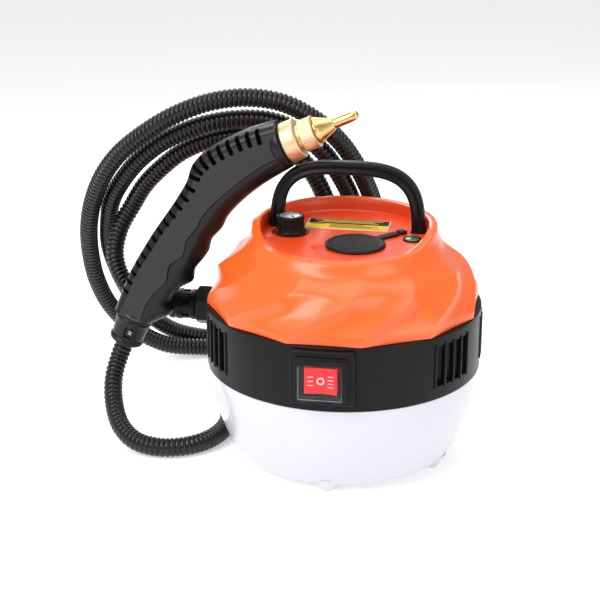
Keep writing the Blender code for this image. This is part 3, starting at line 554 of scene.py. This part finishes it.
def make_band():
    inside = BAND_RADIUS - 2.8
    profile = rounded([(inside, BAND_BOTTOM), (BAND_RADIUS, BAND_BOTTOM), (BAND_RADIUS, BAND_TOP),
                       (inside, BAND_TOP)], 0.9)
    bm = lathe(profile, 240, closed=True)
    parts = [("UNION", slab(50, 43, 12, 3.0, (0, SWITCH_FACE + 6, SWITCH_HEIGHT), edge=1.4)),
             ("DIFFERENCE", box((44, 12, 37), (0, SWITCH_FACE + 8.8, SWITCH_HEIGHT))),
             ("DIFFERENCE", box((31, 40, 24.6), (0, -108, SWITCH_HEIGHT)))]
    seat = axis_place((GLAND_SEAT, GLAND_Y, GLAND_HEIGHT), (1, 0, 0))
    boss = rounded([(0, 0), (15, 0), (15.6, 12.5), (0, 12.5)], 0.7)
    parts.append(("UNION", lathe(boss, 64, seat)))
    parts.append(("DIFFERENCE", lathe([(0, -5), (6, -5), (6, 35), (0, 35)], 32, seat)))
    rear = axis_place((0, 90, 100), (0, 1, 0))
    parts.append(("DIFFERENCE", lathe([(0, 0), (7.4, 0), (7.4, 30), (0, 30)], 48, rear)))
    slots, ribs = bmesh.new(), bmesh.new()
    for centre in VENT_ANGLES:
        for k in range(4):
            turn = Matrix.Rotation(math.radians(centre + (k - 1.5) * VENT_PITCH), 4, "Z")
            slab(7.6, 33, 20, 0.8, (0, -BAND_RADIUS, VENT_HEIGHT), turn, edge=0.05, bm=slots,
                 steps=3)
        for k in range(5):
            turn = Matrix.Rotation(math.radians(centre + (k - 2) * VENT_PITCH), 4, "Z")
            slab(2.1, 36, 2.6, 0.8, (0, -BAND_RADIUS + 0.1, VENT_HEIGHT), turn, edge=0.7, bm=ribs,
                 steps=3)
    parts.append(("DIFFERENCE", slots))
    piece("waist_band", bm, satin_black(), replaces="mid_band", slot="black", parts=parts, angle=35)
    piece("vent_ribs", ribs, satin_black(), slot="black")
    low, high = BAND_TOP - 1.2, BAND_TOP - 0.3
    ledge = [(99, low), (107.8, low), (107.8, high), (99, high)]
    piece("band_ledge", lathe(ledge, 120, closed=True), satin_black(), slot="black")
    # Dark sheets behind the vent groups are painted shade: they stand in for the dark inside of the
    # casing seen through the slots.
    for number, centre in enumerate(VENT_ANGLES):
        shade_sheet = bmesh.new()
        rows = []
        for radius, z in ((104.2, 89), (104.8, 89), (104.8, 126), (104.2, 126)):
            rows.append([shade_sheet.verts.new(around(radius, math.radians(centre + d), z))
                         for d in range(-12, 13, 2)])
        skin(shade_sheet, rows, closed=True, ring=False)
        for end in (0, -1):
            shade_sheet.faces.new([row[end] for row in rows])
        piece(f"vent_screen_{number + 1}", shade_sheet, rubber_black(), slot="black")


def make_handle():
    def arch(t):
        c, s = math.cos(t), math.sin(t)
        x = HANDLE_HALF_WIDTH * math.copysign(abs(c) ** (2 / HANDLE_POWER), -c)
        return Vector((x, HANDLE_Y, HANDLE_BASE + HANDLE_RISE * abs(s) ** (2 / HANDLE_POWER)))

    path = curve_points([arch(math.pi * k / 96) for k in range(97)], 1.6)
    # (out from the arch's middle, towards the back): a bar with two beads and a groove between
    quarter = [(5.5, 0), (5.5, 2.4), (5.3, 3.6), (4.7, 4.6), (3.8, 5.25), (2.9, 5.5), (2.0, 5.3),
               (1.3, 4.75), (0.7, 4.35)]
    half = quarter + [(0, 4.25)] + [(-a, b) for a, b in reversed(quarter[1:])] + [(-5.5, 0)]
    section = half + [(a, -b) for a, b in reversed(half[1:-1])]
    bm = bmesh.new()
    rows = []
    for k, point in enumerate(path):
        ahead = (path[min(k + 1, len(path) - 1)] - path[max(k - 1, 0)]).normalized()
        out = Vector((0, 1, 0)).cross(ahead)
        rows.append([bm.verts.new(point + out * a + Vector((0, 1, 0)) * b) for a, b in section])
    skin(bm, rows)
    bm.faces.new(rows[0])
    bm.faces.new(rows[-1])
    piece("bail_handle", bm, satin_black(), replaces="handle", slot="black", angle=50)


# ---------------------------------------------------------------- top face fittings

def make_knob():
    place = Matrix.Translation((*KNOB_AT, 0))
    base = FACE_HEIGHT + 0.4

    def flutes(angle, radius, height):
        if not base + 3.2 < height < 200.2 or radius < 9:
            return radius
        fade = smoothstep(base + 3.2, base + 4.4, height) * (1 - smoothstep(199.2, 200.2, height))
        return radius - 0.75 * fade * (0.5 + 0.5 * math.cos(18 * angle)) ** 0.7

    wall = [(11.15, base + 2.6 + 10.6 * k / 16) for k in range(17)]
    profile = ([(3.4, base), (12.6, base), (13.0, base + 0.3), (13.1, base + 1.2), (12.8, base + 1.9),
                (11.6, base + 2.3)] + wall + [(10.9, 199.9), (10.4, 200.4), (9.6, 200.6), (8.9, 200.5),
                (8.7, 200.2), (8.7, 199.7), (3.4, 199.7)])
    piece("steam_knob", lathe(profile, 216, place, flutes, closed=True), satin_black(), "knob",
          "knob", "black", angle=50)
    disc = [(0, 199.85), (8.4, 199.85), (8.5, 200.2), (8.2, 200.45), (7.2, 200.5), (6.9, 200.3),
            (0, 200.3)]
    satin = paint("satin_silver", (0.62, 0.62, 0.64), 0.38, 0.85, bump=0.04, grain=600)
    piece("knob_disc", lathe(disc, 96, place), satin, "knob", "knob_insert", "steel")
    turned = place @ Matrix.Rotation(math.radians(35), 4, "Z")
    mark = box((0.9, 5.0, 0.3), (0, -4.0, 200.4), turned, 0.1, 1)
    piece("knob_pointer", mark, satin_black(), "knob", slot="black")
    low, high = FACE_HEIGHT + 0.05, FACE_HEIGHT + 0.35
    ring = [(13.9, low), (14.9, low), (14.9, high), (13.9, high)]
    piece("knob_dial_ring", lathe(ring, 96, place, closed=True), satin_black(), slot="black")


def make_lid():
    centre, anchor = Vector((*LID_AT, 0)), Vector((*ANCHOR_AT, 0))
    along = (anchor - centre).normalized()
    across = Vector((-along.y, along.x, 0))
    place = Matrix.Identity(4)
    place.col[0].xyz, place.col[1].xyz = along, across
    place.translation = centre
    base = FACE_HEIGHT + 0.3
    end = (anchor - centre).length - 5.0
    top = [(0, base + 2.2), (8, base + 2.2), (17.5, base + 2.25), (18.6, base + 2.0), (19.4, base + 2.0),
           (20.4, base + 2.45), (22.4, base + 2.5), (23.3, base + 2.1), (23.7, base + 1.4),
           (23.8, base + 0.7),
           (23.5, base + 0.1), (22.6, base), (12.0, base), (12.0, 183.2), (11.6, 182.4), (10.9, 182.4),
           (10.6, 183.0), (10.6, base + 0.2), (0, base + 0.2)]
    strap = box((end - 20, 7.4, 1.9), ((20 + end) / 2, 0, base + 1.0), place, 0.7)
    piece("lid_disc", lathe(top, 128, Matrix.Translation(centre)), rubber_black(), "lid", "filler_lid",
          "rubber", parts=[("UNION", strap)], angle=35)
    block = box((6.4, 7.6, 2.5), (end + 4.9, 0, base + 1.3), place, 0.9)
    piece("strap_anchor", block, rubber_black(), replaces="lid_anchor", slot="rubber")


def make_indicator():
    place = Matrix.Translation((*LAMP_AT, 0))
    top = FACE_HEIGHT + 0.3
    bezel = rounded([(5.8, 178), (6.5, 178), (6.5, top), (7.7, top), (7.7, top + 0.4), (7.2, top + 0.9),
                     (6.2, top + 0.9), (5.8, top + 0.6)], 0.2)
    piece("lamp_bezel", lathe(bezel, 96, place, closed=True), satin_black(), replaces="indicator_bezel",
          slot="black")
    dome = [(0, 177), (5.4, 177), (5.5, top + 0.5)]
    dome += [(5.5 * math.cos(a), top + 0.5 + 1.1 * math.sin(a))
             for a in (math.radians(12 * k) for k in range(1, 7))]
    dome.append((0, top + 1.65))
    green = paint("green_lens", (0.015, 0.17, 0.09), 0.1, coat=0.6, bump=0.0, tint=0.1)
    piece("lamp_lens", lathe(dome, 72, place), green, replaces="indicator_lens", slot="green")


def make_label():
    low, high = FACE_HEIGHT + 0.06, FACE_HEIGHT + 0.45

    def plate(name, x0, x1, y0, y1, z, colour, **facts):
        middle = ((x0 + x1) / 2, (y0 + y1) / 2, (low + z) / 2)
        bm = box((x1 - x0, y1 - y0, z - low), middle, bevel=0.12, segments=1)
        piece(name, bm, paint(name, colour, 0.55, bump=0.02, grain=900, specular=0.06),
              slot="label", **facts)

    plate("label_border", -34.4, 33.1, 11.0, 38.0, high, (0.62, 0.60, 0.52), replaces="warning_label")
    plate("label_dark_field", -33.3, 32.0, 25.2, 36.9, high + 0.25, (0.013, 0.013, 0.014))
    plate("label_yellow_field", -33.3, 32.0, 12.1, 24.6, high + 0.25, (0.80, 0.50, 0.03))

    def bars(name, spans, thick, ink):
        bm = bmesh.new()
        for y, a, b in spans:
            box((b - a, thick, 0.12), ((a + b) / 2, y, high + 0.30), bm=bm)
        piece(name, bm, ink, slot="label")

    bars("label_dark_bars",
         ((22.4, -31, -19), (22.4, -15, 12), (19.9, -15, 24), (17.4, -15, 19), (14.9, -15, 26)), 0.9,
         paint("label_ink", (0.02, 0.02, 0.02), 0.5, bump=0.0))
    bars("label_pale_bars", ((33.9, -29, 27), (31.2, -22, 20), (28.4, -26, 24)), 1.0,
         paint("label_pale_ink", (0.75, 0.55, 0.08), 0.5, bump=0.0))


# ---------------------------------------------------------------- switch

def make_switch():
    z, front = SWITCH_HEIGHT, SWITCH_FACE - 0.3
    frame_bm = slab(41, 34, 2.4, 2.2, (0, front - 1.2, z), edge=0.8)
    parts = [("UNION", box((30.2, 24, 23.8), (0, front + 10.8, z))),
             ("DIFFERENCE", slab(28.4, 21.4, 24, 1.0, (0, front + 7.6, z), edge=0.05, steps=3))]
    piece("switch_bezel", frame_bm, satin_black(), replaces="switch_frame", slot="black", parts=parts)
    cover = slab(35, 29, 8, 2.6, (0, front - 6.7, z), edge=1.2)
    hollow = slab(33.2, 27.2, 12, 1.8, (0, front - 3.8, z), edge=0.8)
    piece("splash_cover", cover, clear_plastic(), replaces="switch_cover", slot="clear",
          parts=[("DIFFERENCE", hollow)])
    reach = ROCKER_AXIS_Y - 8.2

    def dished(x):
        return reach - 0.3 + 1.9 * (1 - (abs(x) / 11.4) ** 1.3)

    face = [(-12.4, reach), (-11.9, reach - 0.25)]
    face += [(x, dished(x)) for x in [-11.4 + 22.8 * k / 24 for k in range(25)]]
    face += [(11.9, reach - 0.25), (12.4, reach), (12.4, -110.5), (8, -107), (-8, -107), (-12.4, -110.5)]
    bm = bmesh.new()
    rows = []
    for height, shrink in ((z - 10.2, 0.5), (z - 9.7, 0), (z + 9.7, 0), (z + 10.2, 0.5)):
        rows.append([bm.verts.new((x, y + (shrink if y < reach + 2.5 else 0), height)) for x, y in face])
    skin(bm, rows)
    caps = [bm.faces.new(rows[0]), bm.faces.new(rows[-1])]
    bmesh.ops.triangulate(bm, faces=caps)
    red = paint("rocker_red_painted_glow", (0.80, 0.010, 0.016), 0.22, bump=0.01, tint=0.05, specular=0.3)
    # The cap's red emission is a painted glow that brightens it; the rocker is no lamp.
    piece("rocker_cap", bm, glow(red, (0.9, 0.015, 0.02), 0.3), "rocker", "switch_rocker", "red",
          angle=30)
    white = paint("rocker_marks", (0.9, 0.9, 0.88), 0.4, bump=0.0)
    marks = bmesh.new()
    ring_place = axis_place((0, reach + 1.45, z), (0, -1, 0))
    lathe([(2.0, 0), (2.9, 0), (2.9, 0.3), (2.0, 0.3)], 40, ring_place, bm=marks, closed=True)
    for x, dz in ((-8.0, 3.4), (-8.0, 0), (-8.0, -3.4), (8.0, 4.2), (8.0, 1.4), (8.0, -1.4),
                  (8.0, -4.2)):
        box((4.4, 0.6, 0.5), (x, dished(x) - 0.05, z + dz), bm=marks)
    piece("rocker_marks", marks, white, "rocker", slot="red")


# ---------------------------------------------------------------- outlet and hose

def make_outlet():
    seat = axis_place((GLAND_SEAT, GLAND_Y, GLAND_HEIGHT), (-1, 0, 0))

    def hexagon(angle, radius, height):
        flat = 15.0 / math.cos((angle + math.pi / 6) % (math.pi / 3) - math.pi / 6)
        return min(radius, flat) if radius > 12 else radius

    nut = [(5.6, 0.3), (15.2, 0.3), (16.2, 0.8), (17.0, 1.8), (17.2, 3.0), (17.2, 12.4), (15.4, 12.8),
           (15.4, 14.0), (17.2, 14.4), (17.2, 23.4), (17.0, 24.4), (16.2, 25.4), (15.2, 25.9),
           (5.6, 25.9)]
    piece("outlet_hex_nut", lathe(nut, 144, seat, hexagon, closed=True), satin_black(),
          replaces="outlet_nut", slot="black", angle=25)
    body = rounded([(9.0, 26.3), (12.2, 26.3), (13.2, 28), (13.2, 31), (12.5, 31.6), (12.5, 39.4),
                    (13.2, 40), (13.2, 43.5), (12.3, 44.4), (12.3, 46), (13.1, 46.8),
                    (12.8, GLAND_LENGTH),
                    (9.0, GLAND_LENGTH)], 0.35, 3)
    windows = []
    for k in range(6):
        turn = Matrix.Rotation(math.radians(30 + 60 * k), 4, "Z")
        windows.append(("DIFFERENCE", box((5.2, 5, 6.6), (0, 13.0, 35.5), seat @ turn, 0.8, 2)))
    piece("hose_coupling", lathe(body, 120, seat, closed=True), satin_black(),
          replaces="outlet_coupling", slot="black", parts=windows)


def make_hose():
    """Corrugated hose: rounded crests a pitch apart, swept without twist along its route."""
    path = [Vector(HOSE_START)] + curve_points(HOSE_ROUTE, 2.0) + [Vector(HOSE_END)]
    # every second point, keeping the last, smooths the joins before the ridges are spaced
    path = curve_points(path[::2] if len(path) % 2 else path[:-1:2] + [path[-1]], 1.0)
    sides = 24
    depths = (0.0, 0.14, 1.15, 0.14)     # how far each quarter of a ridge lies below its crest
    bm = bmesh.new()
    rows, side = [], Vector((0, 0, 1))
    for k, point in enumerate(path):
        ahead = (path[min(k + 1, len(path) - 1)] - path[max(k - 1, 0)]).normalized()
        side = (side - side.dot(ahead) * ahead).normalized()
        up = ahead.cross(side)
        radius = HOSE_RADIUS - 0.05 - depths[k % len(depths)]
        turns = [TAU * i / sides for i in range(sides)]
        rows.append([bm.verts.new(point + radius * (side * math.cos(a) + up * math.sin(a)))
                     for a in turns])
    skin(bm, rows)
    bm.faces.new(rows[0])
    bm.faces.new(rows[-1])
    hose = piece("corrugated_hose", bm, hose_black(), replaces="hose", slot="hose", angle=70)


# ---------------------------------------------------------------- gun

SPINE = [(-195, 108), (-183, 137), (-164, 170), (-141, 204), (-131, 221), (-126.5, 234), (-119, 243),
         (-105, 253), (-82, 264.5), (-59, 272)]
PANEL_EDGE = [(-171, 104), (-165, 119), (-158, 129), (-145.5, 142), (-143, 154), (-131.5, 163),
              (-129.5, 174), (-120.5, 186), (-117, 194), (-103, 209.5), (-70, 237), (-51, 248)]
FINGER_SIDE = [(-163.5, 95), (-147, 105), (-147, 116), (-140, 127), (-129, 134), (-127, 144),
               (-119.5, 154), (-115, 161), (-112, 171), (-103.5, 181), (-98, 191.5), (-86, 205),
               (-70, 218.6), (-43.5, 236.3)]


def nose_place():
    angle = math.radians(NOSE_ANGLE)
    return axis_place((NOSE_AT[0], GUN_Y, NOSE_AT[1]), (math.cos(angle), 0, math.sin(angle)))


def tail_place():
    up = (COLLAR_TOP[0] - COLLAR_END[0], 0, COLLAR_TOP[1] - COLLAR_END[1])
    return axis_place((COLLAR_TOP[0], GUN_Y, COLLAR_TOP[1]), up)


def flat_curve(points, count):
    fine = curve_points([(x, 0, z) for x, z in points], 1.0)
    picked = []
    for k in range(count):
        at = k / (count - 1) * (len(fine) - 1)
        low = min(int(at), len(fine) - 2)
        picked.append(fine[low].lerp(fine[low + 1], at - low))
    return picked


def make_gun():
    stations = 150
    spine, fingers = flat_curve(SPINE, stations), flat_curve(FINGER_SIDE, stations)
    # (share of the way from spine to panel edge, share of the half thickness)
    section = [(0.0, 0.0), (0.0, 0.30), (0.008, 0.50), (0.03, 0.70), (0.065, 0.86), (0.11, 0.95),
               (0.16, 0.99), (0.20, 1.0), (0.40, 1.0)]
    # the same from the panel's edge (0) to the finger side (1)
    finger_section = [(0.0, 1.0), (0.05, 0.93), (0.12, 0.925), (0.28, 0.90), (0.46, 0.82), (0.63, 0.70),
                      (0.79, 0.55), (0.90, 0.39), (0.97, 0.2), (1.0, 0.0)]
    edge = flat_curve(PANEL_EDGE, stations)
    for side, name, node in ((-1, "grip_front_half", "gun_shell_front"),
                             (1, "grip_rear_half", "gun_shell_rear")):
        bm = bmesh.new()
        rows = []
        for k in range(stations):
            a, b = spine[k], fingers[k]
            u = k / (stations - 1)
            half = GUN_HALF * mix(0.97, 1.0, smoothstep(0, 0.15, u))
            row = []
            split = min(0.93, max(0.5, (edge[k] - a).length / (b - a).length))
            shares = section + [(mix(split, 1.0, f), thick) for f, thick in finger_section]
            for share, thick in shares:
                p = a.lerp(b, share)
                row.append(bm.verts.new((p.x, GUN_Y + side * max(0.12, thick * half), p.z)))
            rows.append(row)
        skin(bm, rows, ring=False)
        for k in range(stations - 1):
            bm.faces.new((rows[k][0], rows[k + 1][0], rows[k + 1][-1], rows[k][-1]))
        bm.faces.new(rows[0])
        bm.faces.new(rows[-1])
        slots = bmesh.new()
        for k in range(GUN_SLOTS):
            u = 0.10 + 0.84 * k / (GUN_SLOTS - 1)
            index = int(u * (stations - 1))
            a, b = spine[index], fingers[index]
            ahead = (spine[min(index + 2, stations - 1)] - spine[index - 2]).normalized()
            inward = (b - a).normalized()
            inward = (inward - inward.dot(ahead) * ahead).normalized()
            grow = smoothstep(0.3, 0.75, u)
            place = Matrix.Identity(4)
            place.col[0].xyz, place.col[1].xyz = inward, Vector((0, side, 0))
            place.col[2].xyz = ahead
            long = mix(6.4, 12.0, grow)
            place.translation = a + Vector((0, GUN_Y, 0)) + inward * (long / 2 + 0.6)
            box((long, 12.0, mix(3.0, 4.0, grow)), (0, GUN_HALF - 3.0, 0), place, 0.7, 1, slots)
        tail = lathe([(0, -6), (8.2, -6), (8.2, 20), (0, 20)], 40, tail_place())
        grip = piece(name, bm, [grip_black(), grip_grey()], replaces=node, slot="gun",
                     parts=[("DIFFERENCE", slots), ("DIFFERENCE", tail)], angle=32)
        paint_panel(grip)
    nose = nose_place()
    hood = rounded([(9.4, -9), (15.5, -9), (18.2, -6.0), (18.9, -2.4), (18.9, -0.6), (18.2, 0.0),
                    (9.4, 0.0)], 0.7)
    piece("nose_hood", lathe(hood, 120, nose, closed=True), grip_black(), slot="gun")


def paint_panel(grip):
    """Gives the flat side panel its own, greyer material."""
    middle = put((0, GUN_Y, 0)).y
    for face in grip.data.polygons:
        off = abs(abs(face.center.y - middle) - GUN_HALF * MM)
        face.material_index = 1 if abs(face.normal.y) > 0.985 and off < 0.7 * MM else 0


def make_brass():
    nose = nose_place()
    fixed = [(5.2, -11), (9.0, -11), (9.0, 0.35), (15.2, 0.35), (16.2, 1.0), (16.7, 2.0), (16.7, 11.6),
             (16.2, 12.8), (15.0, 13.4), (10.6, 13.4), (10.4, 13.8), (10.4, 15.3), (8.0, 15.3),
             (8.0, 25), (5.2, 25)]
    piece("brass_collar", lathe(rounded(fixed, 0.25, 2), 160, nose, closed=True), blasted_brass(),
          replaces="gun_collar", slot="brass", angle=28)

    def knurl(angle, radius, height):
        if radius < 12 or not 16.6 < height < 27.2:
            return radius
        fade = smoothstep(16.6, 17.4, height) * (1 - smoothstep(26.4, 27.2, height))
        return radius - 0.30 * fade * abs(math.sin(22 * angle))

    wall = [(13.1, 16.4 + 11.0 * k / 14) for k in range(15)]
    nut = ([(8.3, 15.7), (11.9, 15.7), (12.7, 16.0)] + wall
           + [(12.7, 27.7), (11.8, 28.0), (5.2, 28.0), (5.2, 25.7), (8.3, 25.7)])
    piece("knurled_nut", lathe(nut, 264, nose, knurl, closed=True), blasted_brass(), "nozzle",
          "nozzle_nut", "brass", angle=50)
    cone = [(2.6, 28.3), (10.2, 28.3), (10.9, 28.7), (10.9, 29.8), (9.6, 32.0), (7.2, 37.6),
            (5.4, 41.6), (4.5, 43.7), (2.6, 43.7)]
    piece("nozzle_taper", lathe(rounded(cone, 0.2, 2), 128, nose, closed=True), brass(), "nozzle",
          "nozzle_cone", "brass", angle=28)
    tip = [(1.4, 44), (4.3, 44), (4.35, 45)] + [(4.3, 46 + k) for k in range(12)]
    tip += [(4.2, 59.2), (4.0, 60.8), (3.6, 62.3), (3.0, 63.5), (2.3, 64.0), (1.4, 64.0), (1.4, 54)]
    piece("nozzle_spout", lathe(tip, 96, nose, closed=True), brass(), "nozzle", "nozzle_tip", "brass")


def make_tail():
    tail = tail_place()
    length = (Vector((*COLLAR_TOP, 0)) - Vector((*COLLAR_END, 0))).length
    profile = rounded([(9.0, -0.4), (9.0, -length), (13.2, -length), (14.4, 1.0 - length),
                       (14.6, 3.6 - length), (13.9, 4.6 - length), (13.6, 6.0 - length), (14.9, -7.4),
                       (15.6, -4.8), (15.6, -3.4), (15.0, -2.6), (15.9, -1.8), (15.9, -0.4)], 0.4, 3)
    pocket = box((9.6, 8, 10.4), (2.5, -14.6, -13.6), tail, 1.6)
    piece("tail_collar", lathe(profile, 144, tail, closed=True), grip_black(), replaces="gun_tail_collar",
          slot="black", parts=[("DIFFERENCE", pocket)])
    band = rounded([(12.0, 0.2), (16.1, 0.2), (16.3, 1.4), (15.9, 2.6), (12.0, 2.6)], 0.4)
    piece("tail_chamfer_band", lathe(band, 120, tail, closed=True),
          paint("polished_black", (0.02, 0.02, 0.022), 0.12, bump=0.0, coat=0.5), slot="black")
    clip = box((4.2, 2.6, 4.8), (2.5, -11.2, -13.6), tail, 1.2)
    piece("chromed_tab", clip, paint("dull_chrome", (0.26, 0.27, 0.29), 0.34, 1.0, bump=0.1, grain=500),
          replaces="hose_clip", slot="steel")


# ---------------------------------------------------------------- pieces kept from the CAD

def dress_cad():
    steel, cast = chrome(), paint("cast_alloy", (0.55, 0.56, 0.57), 0.5, 1.0, bump=0.25, grain=450)
    pale = paint("silicone_tube", (0.62, 0.60, 0.55), 0.45, bump=0.02)
    resin = paint("circuit_resin", (0.02, 0.16, 0.055), 0.4, bump=0.03, grain=600)
    frosted = paint("tank_polymer", (0.68, 0.71, 0.69), 0.42, bump=0.03)
    looks = {
        steel: ["base_screw_1", "base_screw_2", "base_screw_3", "gun_screw_1", "gun_screw_2",
                "gun_screw_3", "gun_screw_4", "regulator_shaft", "heater_terminal_left",
                "heater_terminal_right", "thermostat", "pump_body", "pump_spring"],
        cast: ["heater_block"],
        brass(): ["pump_plunger", "pump_valve", "steam_pipe", "gun_pipe"],
        pale: ["thermal_fuse", "suction_tube", "delivery_tube", "filler_seal"],
        resin: ["control_board"],
        frosted: ["water_tank"],
        rubber_black(): ["pump_mount", "mains_gland"],
        satin_black(): ["regulator_body", "filler_pipe", "heater_stand", "board_stand",
                        "board_capacitor", "board_relay"],
    }
    for mat, names in looks.items():
        for name in names:
            for slot in nodes[name].material_slots:
                slot.material = mat


for step in (camera, studio, make_cover, make_tub, make_band, make_handle, make_knob, make_lid,
             make_indicator, make_label, make_switch, make_outlet, make_hose, make_gun, make_brass,
             make_tail, dress_cad):
    step()
